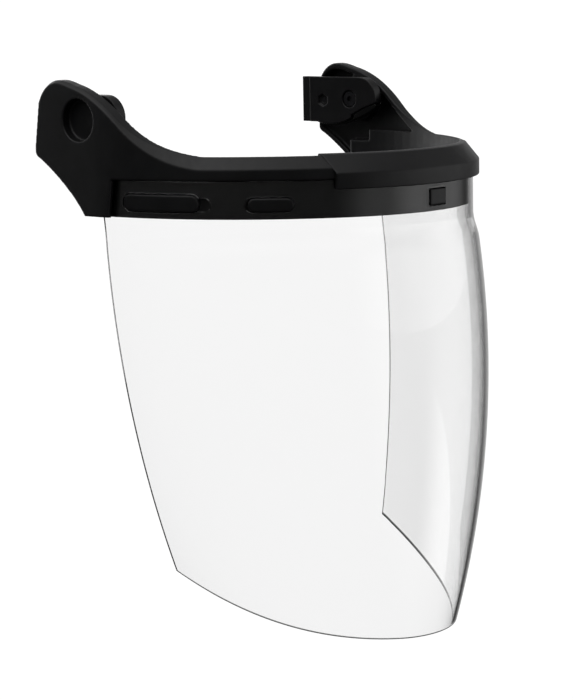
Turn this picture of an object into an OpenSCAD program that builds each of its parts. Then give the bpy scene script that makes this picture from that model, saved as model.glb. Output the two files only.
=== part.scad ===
// Helmet-mounted face shield: a clear barrel-shaped lens on a black carrier frame that tilts
// on two clips, one on each side of a safety helmet.
// Frame: origin on the tilt axis midway between the clips, +X the wearer's left, -Y the front,
// +Z up. Each paired part is drawn for the wearer's left and mirrored for the right.

/* [Carrier frame] */
// Half the width over the lens collar, at its rear end
collar_half_w = 108.4; // [100:0.2:116]
// Distance of the rear end of the side arcs in front of the tilt axis
side_arc_rear = 8; // [4:0.5:14]
// Radius of the side arcs of the collar
side_r = 137; // [130:1:150]
// Radius of the front arc of the collar
front_r = 86; // [80:0.5:92]
// Height of the skirt's bottom edge below the tilt axis
skirt_bottom = 47; // [44:0.5:50]
// Height of the arms' top edge below the tilt axis, at the front
arm_top = 16.9; // [14:0.1:18]
// How far the arms stand proud of the lens collar
arm_proud = 1; // [0.5:0.1:1.5]
// How far the ears stand proud of the lens collar
ear_proud = 3.3; // [3:0.1:4]
// Wall thickness of the ears and of the skirt
wall = 2.5; // [2:0.1:3]
// Height of the retaining lugs that hold the lens
lug_h = 8.3; // [7:0.1:9]

/* [Brim] */
// How far the brim stands proud of the lens collar
brim_proud = 3.2; // [2.5:0.1:4]
// Height of the brim's lower lip below the tilt axis
brim_lip = 33; // [31:0.5:34.5]
// How many stations of the side arcs the brim's ends reach past the front arc
brim_steps = 1; // [0:1:4]

/* [Lens] */
// Thickness of the lens
lens_t = 2; // [1.5:0.1:2.5]
// Height of the lens's top edge below the tilt axis
lens_top = 28.7; // [28:0.1:30]
// Height of the crease under the collar, below the tilt axis
crease = 52; // [50:0.5:54]
// Forward tilt of the lens's barrel axis
barrel_tilt = 11.8; // [10:0.1:13]
// Radius of the lens's vertical curve
barrel_r = 503; // [450:1:600]
// Depth of the lens's lowest point below the tilt axis
lens_bottom = 260.5; // [250:0.5:270]

/* [Clips] */
// Distance of the clips' inner faces from the middle
clip_face = 96.5; // [95.5:0.1:97.5]
// Thickness of a clip
clip_t = 5.7; // [5.4:0.1:6]
// Distance of a clip's rear edge behind the tilt axis
clip_rear = 34.6; // [32:0.2:36]
// Radius of the pivot screw's shank
shank_r = 2.5; // [2:0.1:3]
// Radius of the round recess in each ear
recess_r = 10.5; // [9:0.1:11]
// Travel of the latch lever, in degrees
latch_travel = 6; // [4:0.5:7]

/* [Hidden] */
$fn = 96;

gap = 0.3;          // air between faces that move past each other
fit_gap = 0.06;     // radial running clearance of a shank in its bush
far = 400;          // longer than anything here

// The plan of the collar: a front arc tangent to two side arcs, which end parallel to Y
side_cx = collar_half_w - side_r;
side_cy = -side_arc_rear;
front_cy = side_cy - sqrt(pow(side_r - front_r, 2) - pow(side_cx, 2));
front_half_a = asin(-side_cx / (side_r - front_r));
side_a = 90 - front_half_a;
skirt_out = lens_t + gap;
skirt_in = skirt_out + wall;

// The plan of the lens body, in the frame of its tilted axis
body_half_w = 108.7;
body_arc_rear = 10.9;
body_side_r = 137.4;
body_front_r = 87;
body_extra_a = 7;   // how far the side arcs run on behind their widest place, in degrees
body_cx = body_half_w - body_side_r;
body_front_cy = -body_arc_rear - sqrt(pow(body_side_r - body_front_r, 2) - pow(body_cx, 2));
body_half_a = asin(-body_cx / (body_side_r - body_front_r));
barrel_z = -74.1;

// The bevel along the top of the arms, and the rim under it
bevel_h = 5.9;
crest_out = -4.3;
back_rim_out = -1.5;
rim_drop = 2;

// Stations across the tilt joint, out from the middle
clip_out = clip_face + clip_t;
washer_out = clip_out + 1;
boss_in = washer_out + gap;
insert_l = 2.9;
recess_floor = boss_in + insert_l + 0.3;
ear_out = collar_half_w + ear_proud;
bush_in = clip_face + 3;
bush_r = 3.8;
head_r = 4.2;
head_t = 1.7;
spring_washer_t = 0.5;
counterbore_r = 4.8;

// The latch on each clip
latch_y = 19;
latch_z = -1;
latch_pin_r = 1.5;
lever_in = clip_face + 2.4;
lever_out = clip_out - gap;
lever_top = -5.5;
lever_rear = 25.6;
belly = [14.3, 20, 35];   // centre and radius of the lever's lower edge
block_bottom = -13;
hex_r = 3.6;
hex_depth = 1.2;

// A point on a cubic curve, and the curve from p[0] to p[3] without its last point
function on_curve(p, t) = pow(1 - t, 3) * p[0] + 3 * t * pow(1 - t, 2) * p[1]
    + 3 * t * t * (1 - t) * p[2] + pow(t, 3) * p[3];
function curve(p, steps = 10) = [for (i = [0:steps - 1]) on_curve(p, i / steps)];

// The ear and arm seen from the side, as [Y, Z]: the crest, the lower foot of the bevel that
// runs along it, and what both outlines share
crest = concat(
    curve([[-84, -arm_top - 0.7], [-58, -arm_top - 1.3], [-40, -13.2], [-24.9, 0.4]], 14),
    curve([[-24.9, 0.4], [-15.5, 9], [-6, 14.8], [5, 17.3]]),
    curve([[5, 17.3], [9, 18.6], [12, 19.4], [15, 19.4]], 4),
    curve([[15, 19.4], [20.5, 19.4], [26.4, 14.8], [27.6, 8.2]], 8));
bevel_foot = concat(
    curve([[-84, -arm_top - bevel_h - 0.4], [-64, -arm_top - bevel_h - 1.4], [-47, -22.5], [-24.9, -1]], 14),
    curve([[-24.9, -1], [-15.5, 7.6], [-6, 13.4], [5, 15.9]]),
    curve([[5, 15.9], [9, 17.2], [12, 18], [15, 18]], 4),
    curve([[15, 18], [20, 18], [25.6, 14], [27.4, 7.8]], 8));
ear_back = concat([[27.6, 8.2]],
    curve([[30.8, -14], [31.4, -18.4], [29.6, -18.7], [27, -20.1]], 6),
    curve([[27, -20.1], [17, -26.2], [3, -37.6], [-3, -skirt_bottom]], 8),
    [[-3, -skirt_bottom]]);
skin_outline = concat(bevel_foot, ear_back,
    [[-19, -skirt_bottom], [-21.5, -lens_top + gap], [-84, -lens_top + gap]]);
back_rim = [-2.4, 1.5];   // from the ear's back edge to the inner side of its rim, as [Y, Z]

// A point off the side arc at angle a, and how much of the ear's offset applies there
function side_pt(a, out) = [side_cx + (side_r + out) * cos(a), side_cy - (side_r + out) * sin(a)];
function ear_share(a) = let (t = min(1, max(0, (25 - a) / 19))) t * t * (3 - 2 * t);

// A line in plan that stands `arm` mm out from the collar along the arm and `ear` mm at the ear
function wall_line(ear, arm) = concat([[collar_half_w + ear, 32]],
    [for (a = [0:1.5:40]) side_pt(a, arm + (ear - arm) * ear_share(a))]);

// How far from the middle such a line stands at a given Y
function line_x(y, ear, arm) = y > side_cy ? collar_half_w + ear : let (
    a0 = asin((side_cy - y) / side_r),
    out = arm + (ear - arm) * ear_share(a0),
    a = asin((side_cy - y) / (side_r + out)))
    side_cx + (side_r + out) * cos(a);
function reversed(list) = [for (i = [len(list) - 1:-1:0]) list[i]];

// The collar's plan as stations from the left rear end round to the right: centre, radius, direction
side_steps = 20;
front_steps = 22;
stations = concat(
    [for (i = [0:side_steps - 1]) [side_cx, side_cy, side_r, -side_a * i / side_steps]],
    [for (i = [0:front_steps]) [0, front_cy, front_r, -side_a - 2 * front_half_a * i / front_steps]],
    [for (i = [1:side_steps]) [-side_cx, side_cy, side_r, side_a - 180 - side_a * i / side_steps]]);
function at_station(c, p) =
    [c[0] + (c[2] + p[0]) * cos(c[3]), c[1] + (c[2] + p[0]) * sin(c[3]), p[1]];

// Sweeps a section, given as [distance out from the collar, height], round the collar's plan
module collar_sweep(section, first = 0, end = len(stations) - 1) {
    n = len(section);
    last = end - first;
    polyhedron(
        [for (k = [first:end]) for (p = section) at_station(stations[k], p)],
        concat([[for (i = [0:n - 1]) i], [for (i = [n - 1:-1:0]) last * n + i]],
            [for (k = [0:last - 1]) for (i = [0:n - 1]) let (j = (i + 1) % n)
                [k * n + j, k * n + i, (k + 1) * n + i, (k + 1) * n + j]]));
}

// A wall between two distances out from the collar, and between heights z0 and z1, all round
module collar_band(inner, outer, z0, z1) {
    collar_sweep([[inner, z0], [outer, z0], [outer, z1], [inner, z1]]);
}

// The upright collar of the lens, as true arcs
module lens_collar(z0, z1) {
    translate([0, front_cy, z0]) rotate([0, 0, -90 - front_half_a])
        rotate_extrude(angle = 2 * front_half_a, $fn = 240)
            translate([front_r - lens_t, 0]) square([lens_t, z1 - z0]);
    both_sides() translate([side_cx, side_cy, z0]) rotate([0, 0, -side_a])
        rotate_extrude(angle = side_a, $fn = 240)
            translate([side_r - lens_t, 0]) square([lens_t, z1 - z0]);
}

// Draws its child on the wearer's left, or mirrored on the right
module on_side(left) { mirror([left ? 0 : 1, 0, 0]) children(); }
module both_sides() { children(); mirror([1, 0, 0]) children(); }

// A disc across the tilt axis, from x0 to x1, at [y, z]
module disc(r, x0, x1, y = 0, z = 0) {
    translate([x0, y, z]) rotate([0, 90, 0]) cylinder(r = r, h = x1 - x0);
}

// A side view [Y, Z] given thickness from x0 to x1
module side_plate(x0, x1) {
    translate([x0, 0, 0]) rotate([90, 0, 90]) linear_extrude(x1 - x0) children();
}

// A peg with round ends that points out of the side arc at angle a, l long and h high
module side_peg(a, l, h, z, depth) {
    mid = side_pt(a, 0);
    translate([mid[0], mid[1], z]) rotate([0, 0, -a]) translate([-depth, 0, 0]) {
        for (y = [-1, 1]) translate([0, y * (l - h) / 2, 0]) rotate([0, 90, 0])
            cylinder(r = h / 2, h = 2 * depth);
        translate([0, -(l - h) / 2, -h / 2]) cube([2 * depth, l - h, h]);
    }
}

// The brim's seat on the frame
brim_first = side_steps - brim_steps;
brim_end = len(stations) - 1 - brim_first;
brim_back = -skirt_in - 2;
seat_proud = 0.3;
seat_foot = -arm_top - 7.9;
seat_top = -arm_top - 1.3;

lug_z = -39.3;
rear_lug_a = 16.2;
rear_lug_l = 41;
front_lug_a = 39.5;
front_lug_l = 22;
centre_lug_w = 12.2;
lug_proud = 0.7;

module centre_peg(w, h) {
    translate([-w / 2, front_cy - front_r - 4, lug_z - 0.6 - h / 2]) cube([w, 8, h]);
}

module carrier_frame() {
    color([0.06, 0.06, 0.065]) difference() {
        union() {
            collar_band(-skirt_in, -skirt_out, -skirt_bottom, -lens_top + gap + 1);
            brim_seat();
            both_sides() {
                arm();
                ear_skin();
                ear_rim();
                ear_bevel();
                ear_pocket_end();
                disc(recess_r + 2, boss_in, ear_out - 1);
            }
            lugs();
        }
        both_sides() {
            disc(recess_r, recess_floor, ear_out + 1);
            disc(bush_r, boss_in - 1, boss_in + insert_l);
        }
    }
}

// One arm's sloping top, from the ear to the brim
module arm() {
    collar_sweep([[-skirt_in, -arm_top], [-skirt_in, -lens_top + gap],
        [arm_proud, -lens_top + gap], [arm_proud, -arm_top - bevel_h], [crest_out, -arm_top]],
        0, brim_first);
}

// The lower stretch of the frame's top that the brim covers
module brim_seat() {
    collar_sweep([[brim_back + 0.1, seat_top - 0.1], [brim_back + 0.1, seat_top - 2],
        [-skirt_in, -lens_top + gap], [seat_proud, -lens_top + gap], [seat_proud, seat_foot - 0.1]],
        brim_first, brim_end);
}

// What stands between two lines in plan
module upright(outer, inner) {
    translate([0, 0, -60]) linear_extrude(90) polygon(concat(outer, reversed(inner)));
}

// The outer wall of one ear and arm
module ear_skin() {
    intersection() {
        upright(wall_line(ear_proud, arm_proud), wall_line(ear_proud - wall, arm_proud - wall));
        side_plate(0, far) polygon(skin_outline);
    }
}

// The inward rim along the crest of the ear and of the arm, and down the ear's back edge
module ear_rim() {
    intersection() {
        upright(wall_line(ear_proud - 2, crest_out), wall_line(-skirt_in, -skirt_in));
        side_plate(0, far)
            polygon(concat(crest, reversed([for (p = bevel_foot) p - [0, rim_drop]])));
    }
    intersection() {
        upright(wall_line(ear_proud - 0.5, crest_out), wall_line(back_rim_out, -skirt_in));
        side_plate(0, far)
            polygon(concat(ear_back, reversed([for (p = ear_back) p + back_rim])));
    }
}

// The sloping face between the outer wall and the crest
module ear_bevel() {
    sunk = 0.4;
    rings = [for (i = [0:len(crest) - 1]) let (f = bevel_foot[i], c = crest[i]) [
        [line_x(f[0], ear_proud, arm_proud) - 0.04, f[0], f[1] - 0.04],
        [line_x(f[0], ear_proud, arm_proud) - sunk, f[0], f[1] - sunk],
        [line_x(f[0], ear_proud - 2, crest_out) - sunk, f[0], f[1] - sunk],
        [line_x(c[0], ear_proud - 2, crest_out) - sunk, c[0], c[1] - sunk],
        [line_x(c[0], ear_proud - 2, crest_out) - 0.04, c[0], c[1] - 0.04]]];
    n = 5;
    last = len(rings) - 1;
    polyhedron([for (r = rings) for (p = r) p],
        concat([[for (i = [0:n - 1]) i], [for (i = [n - 1:-1:0]) last * n + i]],
            [for (k = [0:last - 1]) for (i = [0:n - 1]) let (j = (i + 1) % n)
                for (t = [[(k + 1) * n + i, k * n + j, k * n + i],
                    [(k + 1) * n + i, (k + 1) * n + j, k * n + j]]) t]));
}

// Closes the pocket that takes the rear edge of the lens
module ear_pocket_end() {
    intersection() {
        translate([collar_half_w - skirt_in, -10.5, -skirt_bottom]) cube([skirt_in + ear_proud - 0.5, 16, 24]);
        side_plate(0, far) polygon(skin_outline);
    }
}

// The lugs that pass through the slots in the lens
module lugs() {
    intersection() {
        collar_band(-skirt_in + 0.5, lug_proud, lug_z - 8, lug_z + 8);
        union() {
            both_sides() {
                side_peg(rear_lug_a, rear_lug_l, lug_h, lug_z, 6);
                side_peg(front_lug_a, front_lug_l, lug_h - 1.8, lug_z - 0.5, 6);
            }
            centre_peg(centre_lug_w, lug_h - 0.3);
        }
    }
}

module front_brim() {
    color([0.08, 0.08, 0.085])
        collar_sweep([[brim_proud, -brim_lip], [brim_proud, -arm_top - 8.3],
            [brim_back, -arm_top + 0.9], [brim_back, seat_top],
            [seat_proud + 0.1, seat_foot], [seat_proud + 0.1, -brim_lip + 0.6], [1, -brim_lip]],
            brim_first, brim_end);
}

// The lens seen from the side, as [Y, Z]: rear edge, corner and curved lower edge
lens_outline = concat([[-11, -lens_top], [-32.3, -227.3]],
    curve([[-32.3, -227.3], [-60, -240.5], [-100, -lens_bottom], [-142, -lens_bottom]], 12),
    [[-160, -lens_bottom], [-160, -lens_top]]);

module visor_lens() {
    color([0.85, 0.88, 0.9, 0.35]) difference() {
        intersection() {
            union() {
                lens_collar(-crease - 1.5, -lens_top);
                intersection() {
                    lens_barrel();
                    translate([-far / 2, -far / 2, -crease - far]) cube([far, far, far]);
                }
            }
            side_plate(-far / 2, far / 2) polygon(lens_outline);
        }
        both_sides() {
            side_peg(rear_lug_a, rear_lug_l + 1, lug_h + 1, lug_z, 6);
            side_peg(rear_lug_a + 3.2, rear_lug_l - 4, lug_h - 1.8, lug_z - 0.5, 6);
            side_peg(front_lug_a - 0.3, front_lug_l + 2, lug_h - 0.8, lug_z - 0.5, 6);
        }
        centre_peg(centre_lug_w + 0.8, lug_h + 0.5);
    }
}

// A barrel-shaped shell on the tilted axis, whose plan is a front arc and two side arcs
module lens_barrel() {
    translate([0, 0, barrel_z]) rotate([-barrel_tilt, 0, 0]) {
        translate([0, body_front_cy, 0]) rotate([0, 0, -90 - body_half_a])
            rotate_extrude(angle = 2 * body_half_a, $fn = 240) barrel_section(body_front_r);
        for (m = [0, 1]) mirror([m, 0, 0])
            translate([body_cx, -body_arc_rear, 0]) rotate([0, 0, body_half_a - 90])
                rotate_extrude(angle = 90 - body_half_a + body_extra_a, $fn = 240)
                    barrel_section(body_side_r);
    }
}

// The lens wall in section: a band of a large circle that reaches out to radius r
module barrel_section(r) {
    intersection() {
        translate([r - barrel_r, 0]) difference() {
            circle(r = barrel_r, $fn = 480);
            circle(r = barrel_r - lens_t, $fn = 480);
        }
        translate([10, -230]) square([r, 290]);
    }
}

module mount_clip() {
    color([0.05, 0.05, 0.055]) difference() {
        side_plate(clip_face, clip_out) clip_outline();
        // thinner tongue that enters the helmet's slot
        translate([clip_face - 1, clip_rear - 6, -20]) cube([2.2, 10, 40]);
        // room for the finger of the latch lever
        side_plate(clip_face - 1, clip_out + 1)
            polygon([[-1.2, -40], [-1.2, -8.8], [-9, -5], [-19, -1.6], [-30, -1.6], [-30, -40]]);
        disc(counterbore_r, clip_face - 1, bush_in);
        disc(bush_r, bush_in - 1, clip_out + 1);
        // room for the latch lever
        side_plate(lever_in - gap, clip_out + 1) {
            translate([-40, -40]) square([54, 40 + lever_top + gap]);
            translate([13, -40]) square([14.5, 36]);
            translate([latch_y, latch_z]) circle(r = 5.6);
        }
        disc(latch_pin_r, clip_face - 1, clip_out, latch_y, latch_z);
        translate([clip_face - 1, latch_y, latch_z]) rotate([0, 90, 0])
            cylinder(r = hex_r, h = 1 + hex_depth, $fn = 6);
    }
}

module clip_outline() {
    translate([-7.3, -10.3]) square([clip_rear + 7.3, 22.3]);
    translate([20, block_bottom]) square([clip_rear - 20, 10]);
    translate([-7.3, 0.7]) circle(r = 11.3);
    intersection() {
        translate([belly[0], belly[1]]) circle(r = belly[2] - 1, $fn = 240);
        translate([-3, -20]) square([clip_rear + 3, 20]);
    }
}

module latch_lever() {
    color([0.09, 0.09, 0.095]) difference() {
        union() {
            side_plate(lever_in, lever_out) {
                intersection() {
                    translate([belly[0], belly[1]]) circle(r = belly[2], $fn = 240);
                    translate([-4, -30]) square([lever_rear + 4, 30 + lever_top]);
                }
                translate([latch_y, latch_z]) circle(r = 5);
            }
            // the finger that is pulled down
            side_plate(clip_face + 0.5, lever_out)
                polygon([[-2.6, -8.55], [-9.2, -5.35], [-17.8, -2.4], [-18.6, -3], [-17.8, -4.4],
                    [-11.5, -7.9], [-4.6, -10.5], [-2.6, -11]]);
        }
        disc(latch_pin_r + fit_gap, lever_in - 1, lever_out + 1, latch_y, latch_z);
        disc(3.5, lever_out - 1.5, lever_out + 1, latch_y, latch_z);
    }
}

module latch_pin() {
    color([0.55, 0.55, 0.57]) disc(latch_pin_r, clip_face + hex_depth, clip_out - 0.2, latch_y, latch_z);
}

module latch_spring() {
    wire_r = 0.4;
    color([0.7, 0.7, 0.72]) translate([lever_out - 0.75, latch_y, latch_z]) rotate([0, 90, 0])
        rotate_extrude($fn = 48) translate([2.6, 0]) circle(r = wire_r, $fn = 16);
}

module pivot_screw() {
    head_in = bush_in - gap - spring_washer_t - head_t;
    color([0.3, 0.3, 0.32]) difference() {
        union() {
            disc(head_r, head_in, head_in + head_t);
            disc(shank_r, head_in + head_t, boss_in + insert_l);
        }
        translate([head_in - 1, 0, 0]) rotate([0, 90, 0]) cylinder(r = 1.75, h = 2.2, $fn = 6);
    }
}

module pivot_insert() {
    color([0.72, 0.58, 0.3]) difference() {
        disc(bush_r, boss_in, boss_in + insert_l);
        disc(shank_r, boss_in - 1, boss_in + insert_l + 1);
    }
}

module pivot_bush() {
    color([0.85, 0.85, 0.82]) difference() {
        disc(bush_r, bush_in, clip_out);
        disc(shank_r + fit_gap, bush_in - 1, clip_out + 1);
    }
}

module spring_washer() {
    color([0.65, 0.65, 0.67]) difference() {
        disc(head_r, bush_in - gap - spring_washer_t, bush_in - gap);
        disc(shank_r + 0.02, bush_in - 2, bush_in + 1);
    }
}

module friction_washer() {
    color([0.8, 0.8, 0.78]) difference() {
        disc(8, clip_out, washer_out);
        disc(shank_r + 0.2, clip_out - 1, washer_out + 1);
    }
}

carrier_frame();
front_brim();
visor_lens();
on_side(true) mount_clip();  // mount_clip_left
on_side(false) mount_clip();  // mount_clip_right
on_side(true) latch_lever();  // latch_lever_left
on_side(false) latch_lever();  // latch_lever_right
on_side(true) latch_pin();  // latch_pin_left
on_side(false) latch_pin();  // latch_pin_right
on_side(true) latch_spring();  // latch_spring_left
on_side(false) latch_spring();  // latch_spring_right
on_side(true) pivot_screw();  // pivot_screw_left
on_side(false) pivot_screw();  // pivot_screw_right
on_side(true) pivot_insert();  // pivot_insert_left
on_side(false) pivot_insert();  // pivot_insert_right
on_side(true) pivot_bush();  // pivot_bush_left
on_side(false) pivot_bush();  // pivot_bush_right
on_side(true) spring_washer();  // spring_washer_left
on_side(false) spring_washer();  // spring_washer_right
on_side(true) friction_washer();  // friction_washer_left
on_side(false) friction_washer();  // friction_washer_right
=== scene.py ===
import math

import bmesh
import bpy
from mathutils import Matrix, Vector


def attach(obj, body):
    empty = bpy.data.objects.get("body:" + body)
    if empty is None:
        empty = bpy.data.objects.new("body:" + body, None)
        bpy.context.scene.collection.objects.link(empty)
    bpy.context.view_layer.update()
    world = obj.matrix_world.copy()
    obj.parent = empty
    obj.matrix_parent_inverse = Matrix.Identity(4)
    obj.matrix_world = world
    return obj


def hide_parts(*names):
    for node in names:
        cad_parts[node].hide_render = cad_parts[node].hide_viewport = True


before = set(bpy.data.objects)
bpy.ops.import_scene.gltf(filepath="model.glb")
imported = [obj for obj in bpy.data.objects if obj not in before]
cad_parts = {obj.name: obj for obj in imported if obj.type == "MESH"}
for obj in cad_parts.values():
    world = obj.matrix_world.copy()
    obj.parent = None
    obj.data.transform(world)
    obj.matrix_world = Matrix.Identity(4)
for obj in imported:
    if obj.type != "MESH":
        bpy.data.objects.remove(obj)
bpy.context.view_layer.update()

MM = 0.001

# ---------------------------------------------------------------- driving dimensions, in mm
# The plan of the lens: half width, rear end of its side arcs, side and front radius
COLLAR = (108.4, -8.0, 137.0, 86.0)
BODY = (108.7, -10.9, 137.4, 87.0)
# The barrel: radius of its upright curve, level of its widest place, lean of its axis
BARREL_R = 503.0
BARREL_Z = -74.1
BARREL_TILT = math.radians(11.8)
LENS_T = 2.0
LENS_TOP = -28.7
# Where the upright collar passes into the barrel, and the height over which it does so
BLEND_TOP = -51.0
BLEND_H = 14.0
# The lens's edges in side view, as (y, z); the lower one is a Bezier curve from the corner
REAR_TOP_Y = -11.0
CORNER = (-32.3, -227.3)
LOWER_EDGE = (CORNER, (-60.0, -240.5), (-100.0, -260.5), (-142.0, -260.5))
# The band along the lower edge that the lens material paints dark, as painted shade
FOOT_SHADE_BAND = 0.9

# The slots in the collar: angle round the side arc, length, height, level
SLOT_Z = -39.3
SLOTS = ((16.2, 42.0, 9.3, SLOT_Z), (19.4, 37.0, 6.5, SLOT_Z - 0.5), (39.2, 24.0, 7.5, SLOT_Z - 0.5))
CENTRE_SLOT = (13.0, 8.8)

# The brim's ends, as arc length from the front centre, at its lip and at its top
LIP_END, TOP_END = 59.5, 66.5


# ---------------------------------------------------------------- small helpers
def mix(a, b, t):
    return a + (b - a) * t


def smooth(a, b, x):
    t = min(1.0, max(0.0, (x - a) / (b - a)))
    return t * t * (3 - 2 * t)


def solve(func, low, high, steps=40):
    """Where a rising function crosses zero."""
    for _ in range(steps):
        mid = (low + high) / 2
        if func(mid) < 0:
            low = mid
        else:
            high = mid
    return (low + high) / 2


def mesh_object(name, verts, faces):
    mesh = bpy.data.meshes.new(name)
    mesh.from_pydata([Vector(v) * MM for v in verts], [], faces)
    mesh.validate()
    bm = bmesh.new()
    bm.from_mesh(mesh)
    bmesh.ops.recalc_face_normals(bm, faces=bm.faces)
    bm.to_mesh(mesh)
    bm.free()
    obj = bpy.data.objects.new(name, mesh)
    bpy.context.scene.collection.objects.link(obj)
    return obj


def apply_modifiers(obj):
    """Replaces the mesh by what its modifiers make of it."""
    graph = bpy.context.evaluated_depsgraph_get()
    mesh = bpy.data.meshes.new_from_object(obj.evaluated_get(graph))
    obj.modifiers.clear()
    obj.data = mesh


def shade_smooth(obj, angle=None):
    mesh = obj.data
    mesh.polygons.foreach_set("use_smooth", [True] * len(mesh.polygons))
    if angle is not None:
        mesh.set_sharp_from_angle(angle=math.radians(angle))


# ---------------------------------------------------------------- the lens as a surface
def plan_point(plan, s, out):
    """A point s mm round a plan from the front centre, `out` mm off it."""
    half_w, rear, side_r, front_r = plan
    cx = half_w - side_r
    front_cy = rear - math.sqrt((side_r - front_r) ** 2 - cx ** 2)
    half_a = math.asin(-cx / (side_r - front_r))
    side = -1 if s < 0 else 1
    s = abs(s)
    if s <= front_r * half_a:
        a = s / front_r
        return side * (front_r + out) * math.sin(a), front_cy - (front_r + out) * math.cos(a)
    a = math.pi / 2 - half_a - (s - front_r * half_a) / side_r
    return side * (cx + (side_r + out) * math.cos(a)), rear - (side_r + out) * math.sin(a)


def barrel_point(s, z, out):
    """The lens body's point at arc length s and height z."""
    c, n = math.cos(BARREL_TILT), math.sin(BARREL_TILT)
    x, y = plan_point(BODY, s, out)
    for _ in range(5):
        along = (z - BARREL_Z + y * n) / c
        x, y = plan_point(BODY, s, out - BARREL_R + math.sqrt(BARREL_R ** 2 - along ** 2))
    return x, y * c + along * n, z


def lens_point(s, z, out):
    """The collar's upright wall above, the barrel below, and a soft crease between them."""
    t = smooth(0.0, BLEND_H, BLEND_TOP - z)
    upright = (*plan_point(COLLAR, s, out), z)
    if t == 0:
        return upright
    body = barrel_point(s, z, out)
    return tuple(mix(a, b, t) for a, b in zip(upright, body))


def lower_edge(y):
    """Height of the lens's lower edge where it is y from the front."""
    def at(i, t):
        p = [q[i] for q in LOWER_EDGE]
        return ((1 - t) ** 3 * p[0] + 3 * t * (1 - t) ** 2 * p[1]
                + 3 * t * t * (1 - t) * p[2] + t ** 3 * p[3])
    if y >= CORNER[0]:
        return CORNER[1]
    t = solve(lambda u: y - at(0, u), 0.0, 1.0) if y > LOWER_EDGE[3][0] else 1.0
    return at(1, t)


def rear_length(z):
    """Arc length from the front centre to the lens's rear edge at height z."""
    edge = mix(REAR_TOP_Y, CORNER[0], (z - LENS_TOP) / (CORNER[1] - LENS_TOP))
    return solve(lambda s: lens_point(s, z, 0)[1] - edge, 100.0, 240.0)


def lens_rows():
    """Shares of the lens's height: close together round the slots, one just above the foot."""
    collar_rows, barrel_rows, foot_row = 34, 90, 0.9955
    collar_share = (LENS_TOP - BLEND_TOP + 4) / (LENS_TOP - CORNER[1])
    collar = [collar_share * i / collar_rows for i in range(collar_rows)]
    barrel = [mix(collar_share, 1.0, i / barrel_rows) for i in range(barrel_rows)]
    return collar + barrel + [foot_row, 1.0]


def lens_grid(columns):
    """Points of the outer and inner wall, and the faces of both and of the edge between them."""
    rows = lens_rows()
    reach = [rear_length(mix(LENS_TOP, CORNER[1], v)) for v in rows]
    verts = []
    for out in (0.0, -LENS_T):
        for c in range(-columns, columns + 1):
            u = c / columns
            s = u * reach[-1]
            low = CORNER[1]
            for _ in range(8):  # settles on the level of the lower edge in this column
                low = lower_edge(lens_point(s, low, 0)[1])
            for v, r in zip(rows, reach):
                verts.append(lens_point(u * r, mix(LENS_TOP, low, v), out))
    n, m = 2 * columns + 1, len(rows)
    inner = n * m
    faces = []
    for i in range(n - 1):
        for j in range(m - 1):
            a = i * m + j
            faces.append((a, a + 1, a + m + 1, a + m))
            faces.append((inner + a, inner + a + m, inner + a + m + 1, inner + a + 1))
    ring = ([i * m for i in range(n)] + [(n - 1) * m + j for j in range(1, m)]
            + [i * m + m - 1 for i in range(n - 2, -1, -1)] + [j for j in range(m - 2, 0, -1)])
    for a, b in zip(ring, ring[1:] + ring[:1]):
        faces.append((a, b, inner + b, inner + a))
    return verts, faces


def bevel(obj, width, segments):
    """Adds a small round along the sharp edges."""
    edge = obj.modifiers.new("edge", "BEVEL")
    edge.limit_method = "ANGLE"
    edge.angle_limit = math.radians(50)
    edge.width = width * MM
    edge.segments = segments


def build_lens():
    """The lens with its slots; "foot" rises to 1 at its lower edge, for the painted shade the material puts
    there.
    """
    lens = mesh_object("lens_shell", *lens_grid(150))
    cutters = slot_cutters()
    for cutter in cutters:
        cut = lens.modifiers.new("slot", "BOOLEAN")
        cut.operation = "DIFFERENCE"
        cut.solver = "EXACT"
        cut.object = cutter
    bevel(lens, 0.5, 2)
    apply_modifiers(lens)
    for cutter in cutters:
        bpy.data.objects.remove(cutter)
    shade_smooth(lens, 35)
    # foot marks the band along the lower edge that the lens material paints dark, as painted shade
    foot = lens.data.attributes.new("foot", "FLOAT", "POINT")
    for vertex, item in zip(lens.data.vertices, foot.data):
        above = vertex.co.z / MM - lower_edge(vertex.co.y / MM)
        item.value = max(0.0, 1.0 - above / FOOT_SHADE_BAND)
    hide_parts("visor_lens")
    return lens


def obround(length, height, steps=12):
    """Outline of a slot with round ends, as (along, up)."""
    r = height / 2
    ends = []
    for side in (1, -1):
        for i in range(steps + 1):
            a = math.pi * (i / steps - 0.5)
            ends.append((side * (length / 2 - r + r * math.cos(a)), side * r * math.sin(a)))
    return ends


def prism(name, outline, place, depth=6.0):
    """An outline (along Y, up Z) given depth along X both ways, then placed."""
    n = len(outline)
    verts = [place @ Vector((x, p[0], p[1])) for x in (-depth, depth) for p in outline]
    faces = [tuple(range(n)), tuple(range(2 * n - 1, n - 1, -1))]
    faces += [(i, (i + 1) % n, n + (i + 1) % n, n + i) for i in range(n)]
    return mesh_object(name, verts, faces)


def slot_cutters():
    """Prisms that cut the three slots on each side and the one at the front centre."""
    half_w, rear, side_r = COLLAR[:3]
    cx = half_w - side_r
    cutters = []
    for side in (1, -1):
        for k, (angle, length, height, level) in enumerate(SLOTS):
            a = math.radians(angle)
            mid = (side * (cx + side_r * math.cos(a)), rear - side_r * math.sin(a), level)
            place = Matrix.Translation(mid) @ Matrix.Rotation(-side * a, 4, "Z")
            cutters.append(prism(f"cutter_{k}_{side}", obround(length, height), place))
    w, h = CENTRE_SLOT
    outline = [(-w / 2, -h / 2), (w / 2, -h / 2), (w / 2, h / 2), (-w / 2, h / 2)]
    place = Matrix.Translation((0, plan_point(COLLAR, 0, 0)[1], SLOT_Z - 0.6))
    cutters.append(prism("cutter_front", outline, place @ Matrix.Rotation(math.pi / 2, 4, "Z")))
    return cutters


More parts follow.
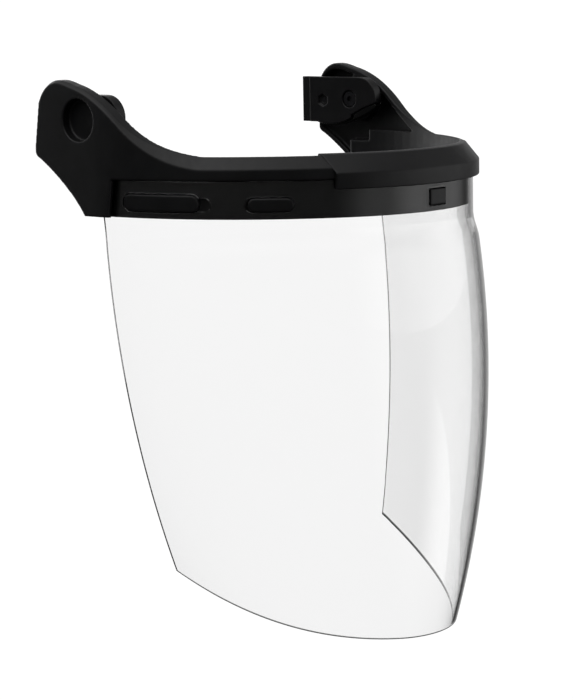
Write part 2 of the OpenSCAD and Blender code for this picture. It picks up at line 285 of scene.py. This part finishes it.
# ---------------------------------------------------------------- moulded parts
def moulded(node, name, grid, rounds, keep):
    """A copy of a CAD node with the soft edges of a moulding: remeshed, smoothed, thinned."""
    obj = bpy.data.objects.new(name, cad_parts[node].data.copy())
    bpy.context.scene.collection.objects.link(obj)
    remesh = obj.modifiers.new("grid", "REMESH")
    remesh.mode = "VOXEL"
    remesh.voxel_size = grid * MM
    ease = obj.modifiers.new("ease", "SMOOTH")
    ease.factor = 0.5
    ease.iterations = rounds
    thin = obj.modifiers.new("thin", "DECIMATE")
    thin.ratio = keep
    apply_modifiers(obj)
    shade_smooth(obj)
    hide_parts(node)
    return obj


def rounded(points, r, steps=4):
    """A closed outline with each corner eased over r mm; what follows [0:2] in a point is kept."""
    eased = []
    n = len(points)
    for i, corner in enumerate(points):
        ends = []
        for other in (points[i - 1], points[(i + 1) % n]):
            run = math.hypot(other[0] - corner[0], other[1] - corner[1])
            t = min(r / run, 0.45)
            ends.append([mix(a, b, t) for a, b in zip(corner, other)])
        for k in range(steps + 1):
            t = k / steps
            eased.append([mix(mix(a, c, t), mix(c, b, t), t) for a, c, b in zip(ends[0], corner, ends[1])])
    return eased


def build_brim():
    """The brim: a section swept round the collar, whose sloping top runs further at both ends."""
    section = rounded([(3.2, -33.0, LIP_END), (3.2, -25.2, LIP_END - 0.6), (-3.8, -16.7, TOP_END - 1.5),
                       (-6.8, -16.0, TOP_END), (-6.8, -18.2, TOP_END), (0.4, -24.8, LIP_END),
                       (0.4, -32.4, LIP_END), (1.0, -33.0, LIP_END)], 0.7)
    steps = 90
    n = len(section)
    verts = []
    for k in range(steps + 1):
        u = 2 * k / steps - 1
        verts += [(*plan_point(COLLAR, u * end, out), z) for out, z, end in section]
    faces = [(k * n + i, k * n + (i + 1) % n, (k + 1) * n + (i + 1) % n, (k + 1) * n + i)
             for k in range(steps) for i in range(n)]
    faces += [tuple(range(n)), tuple(range(steps * n, steps * n + n))]
    brim = mesh_object("brim_shell", verts, faces)
    bevel(brim, 0.4, 3)
    apply_modifiers(brim)
    shade_smooth(brim, 40)
    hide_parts("front_brim")
    return brim


# ---------------------------------------------------------------- materials
def maths(tree, operation, *values):
    """The output of a Math node fed with numbers or other outputs."""
    node = tree.nodes.new("ShaderNodeMath")
    node.operation = operation
    for socket, value in zip(node.inputs, values):
        if isinstance(value, float):
            socket.default_value = value
        else:
            tree.links.new(value, socket)
    return node.outputs[0]


class Nodes:
    """A material's node tree with short ways to add to it."""

    def __init__(self, name):
        self.mat = bpy.data.materials.new(name)
        self.mat.use_nodes = True
        self.tree = self.mat.node_tree
        self.bsdf = self.tree.nodes["Principled BSDF"]
        sources = self.add("ShaderNodeTexCoord")
        self.coords, self.normal = sources.outputs["Object"], sources.outputs["Normal"]

    def add(self, kind, **values):
        node = self.tree.nodes.new(kind)
        for key, value in values.items():
            setattr(node, key, value)
        return node

    def link(self, a, b):
        self.tree.links.new(a, b)

    def set(self, **values):
        for key, value in values.items():
            self.bsdf.inputs[key.replace("_", " ")].default_value = value

    def noise(self, scale, detail=3.0, rough=0.5):
        node = self.add("ShaderNodeTexNoise")
        node.inputs["Scale"].default_value = scale
        node.inputs["Detail"].default_value = detail
        node.inputs["Roughness"].default_value = rough
        self.link(self.coords, node.inputs["Vector"])
        return node.outputs["Fac"]

    def ramp(self, source, stops):
        node = self.add("ShaderNodeValToRGB")
        ramp = node.color_ramp
        while len(ramp.elements) < len(stops):
            ramp.elements.new(0.5)
        for element, (place, value) in zip(ramp.elements, stops):
            element.position = place
            element.color = (*value, 1)
        self.link(source, node.inputs["Fac"])
        return node.outputs["Color"]

    def part(self, source, axis):
        node = self.add("ShaderNodeSeparateXYZ")
        self.link(source, node.inputs[0])
        return node.outputs[axis]

    def maths(self, operation, *values):
        return maths(self.tree, operation, *values)

    def spread(self, source, low, high, first=0.0, last=1.0):
        node = self.add("ShaderNodeMapRange")
        node.inputs["From Min"].default_value = first
        node.inputs["From Max"].default_value = last
        node.inputs["To Min"].default_value = low
        node.inputs["To Max"].default_value = high
        self.link(source, node.inputs["Value"])
        return node.outputs["Result"]

    def bump(self, source, strength, distance, under=None):
        node = self.add("ShaderNodeBump")
        node.inputs["Strength"].default_value = strength
        node.inputs["Distance"].default_value = distance
        self.link(source, node.inputs["Height"])
        if under is not None:
            self.link(under, node.inputs["Normal"])
        return node.outputs["Normal"]

    def worn_edges(self, base, worn, amount):
        """Base colour that pales along sharp edges."""
        sharp = self.add("ShaderNodeNewGeometry").outputs["Pointiness"]
        edge = self.ramp(sharp, [(0.52, (0, 0, 0)), (0.60, (amount,) * 3)])
        node = self.add("ShaderNodeMix", data_type="RGBA")
        self.link(edge, node.inputs["Factor"])
        node.inputs[7].default_value = (*worn, 1)
        self.link(base, node.inputs[6])
        return node.outputs[2]


def black_plastic(name, base, pale, rough, grain):
    """Moulded plastic: blotches, paler edges, uneven gloss and a fine spark-eroded grain."""
    m = Nodes(name)
    blotch = m.noise(60, 4, 0.6)
    colour = m.ramp(blotch, [(0.3, base), (0.75, pale)])
    m.link(m.worn_edges(colour, tuple(4 * c for c in pale), 0.35), m.bsdf.inputs["Base Color"])
    m.link(m.spread(m.noise(180, 3), rough - 0.06, rough + 0.08), m.bsdf.inputs["Roughness"])
    spark = m.bump(m.noise(2600, 2, 0.7), grain, 0.00006)
    m.link(m.bump(m.noise(420, 2), 0.05, 0.0002, spark), m.bsdf.inputs["Normal"])
    m.set(IOR=1.4)
    return m.mat


def clear_lens():
    """Clear sheet with a faint ripple; its cut faces carry painted light: a pale painted highlight round the
    slots, dark painted shade at the foot.
    """
    m = Nodes("clear_polycarbonate")
    height = m.part(m.coords, "Z")
    # Mask of the flat cut faces, plus the band along the lower edge: these get painted light in place of
    # clear sheet
    flat = m.maths("GREATER_THAN", m.maths("ABSOLUTE", m.part(m.normal, "Z")), 0.62)
    cut = m.maths("MULTIPLY", flat, m.maths("LESS_THAN", height, -0.031))
    foot = m.add("ShaderNodeAttribute", attribute_name="foot").outputs["Fac"]
    cut = m.maths("MAXIMUM", cut, m.spread(foot, 0.0, 0.8, 0.35, 0.6))
    # Painted light on the masked faces: dark painted shade low on the lens, a pale painted highlight up at
    # the collar's slots
    tone = m.ramp(m.spread(height, 0, 1, -0.16, -0.1), [(0.3, (0.05,) * 3), (0.7, (0.75,) * 3)])
    colour = m.add("ShaderNodeMix", data_type="RGBA")
    m.link(cut, colour.inputs["Factor"])
    colour.inputs[6].default_value = (0.99, 0.99, 0.99, 1)
    m.link(tone, colour.inputs[7])
    m.link(colour.outputs[2], m.bsdf.inputs["Base Color"])
    m.link(m.spread(cut, 1.0, 0.35), m.bsdf.inputs["Transmission Weight"])
    m.set(IOR=1.585)
    m.link(m.spread(m.noise(140, 4, 0.7), 0.0, 0.012), m.bsdf.inputs["Roughness"])
    m.link(m.bump(m.noise(9, 2), 0.02, 0.0006), m.bsdf.inputs["Normal"])
    absorb = m.add("ShaderNodeVolumeAbsorption")
    absorb.inputs["Color"].default_value = (0.74, 0.74, 0.74, 1)
    absorb.inputs["Density"].default_value = 65
    m.link(absorb.outputs["Volume"], m.tree.nodes["Material Output"].inputs["Volume"])
    return m.mat


def metal(name, colour, rough):
    """Metal with a mottled tone, uneven gloss and fine tool marks."""
    m = Nodes(name)
    tone = m.ramp(m.noise(300, 3), [(0.3, tuple(0.85 * c for c in colour)), (0.7, colour)])
    m.link(tone, m.bsdf.inputs["Base Color"])
    m.set(Metallic=1.0)
    m.link(m.spread(m.noise(900, 2), rough - 0.05, rough + 0.1), m.bsdf.inputs["Roughness"])
    m.link(m.bump(m.noise(1500, 2), 0.08, 0.00005), m.bsdf.inputs["Normal"])
    return m.mat


def pale_plastic():
    """The white acetal of the bushes and washers."""
    m = Nodes("white_acetal")
    tone = m.ramp(m.noise(200, 3), [(0.3, (0.66, 0.66, 0.62)), (0.7, (0.75, 0.75, 0.71))])
    m.link(tone, m.bsdf.inputs["Base Color"])
    m.link(m.spread(m.noise(500, 2), 0.35, 0.5), m.bsdf.inputs["Roughness"])
    m.link(m.bump(m.noise(1800, 2), 0.06, 0.00005), m.bsdf.inputs["Normal"])
    return m.mat


def paint(obj, material):
    obj.data.materials.clear()
    obj.data.materials.append(material)


# ---------------------------------------------------------------- stage
# The floor's own light, and about what it scatters: the world is as bright, so no horizon shows
FLOOR_GLOW = 0.97
FLOOR_SCATTER = 0.11

# The patches of light round the room: azimuth from +X, elevation, reach and core in degrees, power
SOFT_BOXES = ((172, 58, 55, 15, 0.9), (-41, 4, 44, 10, 0.65), (-78, -6, 38, 10, 0.4),
              (32, 0, 30, 10, 0.6), (76, 5, 44, 16, 1.6))
ROOM_GLOW = 0.045


def place_camera():
    """The photo's view, from the wearer's front right and a little above."""
    data = bpy.data.cameras.new("camera")
    data.lens = 126
    data.sensor_width = 36
    data.clip_end = 200
    camera = bpy.data.objects.new("camera", data)
    bpy.context.scene.collection.objects.link(camera)
    right = Vector((0.6584, -0.7525, -0.0176)).normalized()
    back = Vector((-0.7420, -0.6528, 0.1527)).normalized()
    up = back.cross(right).normalized()
    right = up.cross(back)
    turn = Matrix((right, up, back)).transposed().to_4x4()
    camera.matrix_world = Matrix.Translation((-0.94933, -0.87087, 0.07038)) @ turn
    bpy.context.scene.camera = camera


def place_light():
    """A weak overhead panel that gives the black plastics their soft shading."""
    place, target = Vector((-0.9, 0.2, 1.5)), Vector((0, -0.05, 0))
    data = bpy.data.lights.new("overhead", "AREA")
    data.shape = "RECTANGLE"
    data.size, data.size_y = 0.8, 0.8
    data.energy = 1.5
    light = bpy.data.objects.new("overhead", data)
    bpy.context.scene.collection.objects.link(light)
    light.location = place
    light.rotation_euler = (place - target).to_track_quat("Z", "Y").to_euler()


def build_floor():
    """A wide pale disc below the shield, left out of its reflections."""
    floor_r, floor_z, sides = 40.0 / MM, -0.55 / MM, 96
    turns = [2 * math.pi * i / sides for i in range(sides)]
    verts = [(floor_r * math.cos(a), floor_r * math.sin(a), floor_z) for a in turns]
    floor = mesh_object("floor", verts, [tuple(range(sides))])
    m = Nodes("pale_floor")
    m.set(Base_Color=(0.06, 0.06, 0.06, 1), Roughness=0.9, Emission_Color=(FLOOR_GLOW,) * 3 + (1,))
    m.link(looked_at(m.tree), m.bsdf.inputs["Emission Strength"])
    paint(floor, m.mat)
    floor.visible_glossy = False
    floor.visible_diffuse = False


def looked_at(tree):
    """1 where the camera sees the stage straight or through the lens, 0 in reflections."""
    path = tree.nodes.new("ShaderNodeLightPath").outputs
    bounces = maths(tree, "ADD", path["Glossy Depth"], path["Diffuse Depth"])
    straight = maths(tree, "MAXIMUM", path["Is Camera Ray"], path["Is Transmission Ray"])
    return maths(tree, "MULTIPLY", straight, maths(tree, "LESS_THAN", bounces, 0.5))


def build_world():
    """White where it is looked at; in reflections a soft studio, bright above, in front and behind."""
    world = bpy.data.worlds.new("studio")
    bpy.context.scene.world = world
    world.use_nodes = True
    tree = world.node_tree
    tree.nodes.clear()

    def add(kind, **values):
        node = tree.nodes.new(kind)
        for key, value in values.items():
            setattr(node, key, value)
        return node

    def soft_box(azimuth, elevation, reach, core, power):
        """A patch of light that fades from `core` to `reach` degrees off its middle."""
        az, el = math.radians(azimuth), math.radians(elevation)
        dot = add("ShaderNodeVectorMath", operation="DOT_PRODUCT")
        tree.links.new(coords.outputs["Generated"], dot.inputs[0])
        dot.inputs[1].default_value = (math.cos(el) * math.cos(az), math.cos(el) * math.sin(az), math.sin(el))
        fade = add("ShaderNodeMapRange", interpolation_type="SMOOTHSTEP")
        fade.inputs["From Min"].default_value = math.cos(math.radians(reach))
        fade.inputs["From Max"].default_value = math.cos(math.radians(core))
        fade.inputs["To Max"].default_value = power
        tree.links.new(dot.outputs["Value"], fade.inputs["Value"])
        return fade.outputs["Result"]

    coords = add("ShaderNodeTexCoord")
    total = soft_box(0, 90, 80, 20, 0.3)
    for box in SOFT_BOXES:
        both = add("ShaderNodeMath", operation="ADD")
        tree.links.new(total, both.inputs[0])
        tree.links.new(soft_box(*box), both.inputs[1])
        total = both.outputs[0]
    room = add("ShaderNodeMath", operation="ADD")
    room.inputs[1].default_value = ROOM_GLOW
    tree.links.new(total, room.inputs[0])

    blend = add("ShaderNodeMix", data_type="FLOAT")
    tree.links.new(looked_at(tree), blend.inputs[0])
    tree.links.new(room.outputs[0], blend.inputs[2])
    blend.inputs[3].default_value = FLOOR_GLOW + FLOOR_SCATTER
    background = add("ShaderNodeBackground")
    tree.links.new(blend.outputs[0], background.inputs["Strength"])
    background.inputs["Color"].default_value = (1, 1, 1, 1)
    out = add("ShaderNodeOutputWorld")
    tree.links.new(background.outputs[0], out.inputs["Surface"])


# ---------------------------------------------------------------- assembly
place_camera()
build_world()
build_floor()
bpy.context.scene.view_settings.view_transform = "Standard"
place_light()

nylon = black_plastic("black_nylon", (0.004, 0.004, 0.0045), (0.008, 0.008, 0.009), 0.42, 0.5)
acetal = black_plastic("black_acetal", (0.004, 0.004, 0.0045), (0.007, 0.007, 0.008), 0.36, 0.3)
gloss = black_plastic("gloss_black", (0.004, 0.004, 0.004), (0.006, 0.006, 0.006), 0.16, 0.05)
spring = metal("spring_steel", (0.42, 0.42, 0.44), 0.3)
dark_steel = metal("black_steel", (0.06, 0.06, 0.065), 0.35)
brass = metal("brass", (0.6, 0.45, 0.2), 0.3)
white = pale_plastic()

lens = build_lens()
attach(lens, "shield")
paint(lens, clear_lens())

shell = moulded("carrier_frame", "frame_shell", 0.5, 4, 0.3)
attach(shell, "shield")
paint(shell, nylon)

brim = build_brim()
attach(brim, "shield")
paint(brim, nylon)

FINISHES = {"latch_pin_": dark_steel, "latch_spring_": spring, "pivot_screw_": dark_steel,
            "pivot_insert_": brass, "pivot_bush_": white, "spring_washer_": spring,
            "friction_washer_": white}
for side in ("left", "right"):
    clip = moulded("mount_clip_" + side, "clip_body_" + side, 0.3, 4, 0.4)
    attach(clip, "helmet_clips")
    paint(clip, acetal)
    lever = moulded("latch_lever_" + side, "lever_" + side, 0.25, 4, 0.4)
    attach(lever, "latch_" + side)
    paint(lever, gloss)
    for node, material in FINISHES.items():
        paint(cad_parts[node + side], material)
        shade_smooth(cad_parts[node + side], 35)
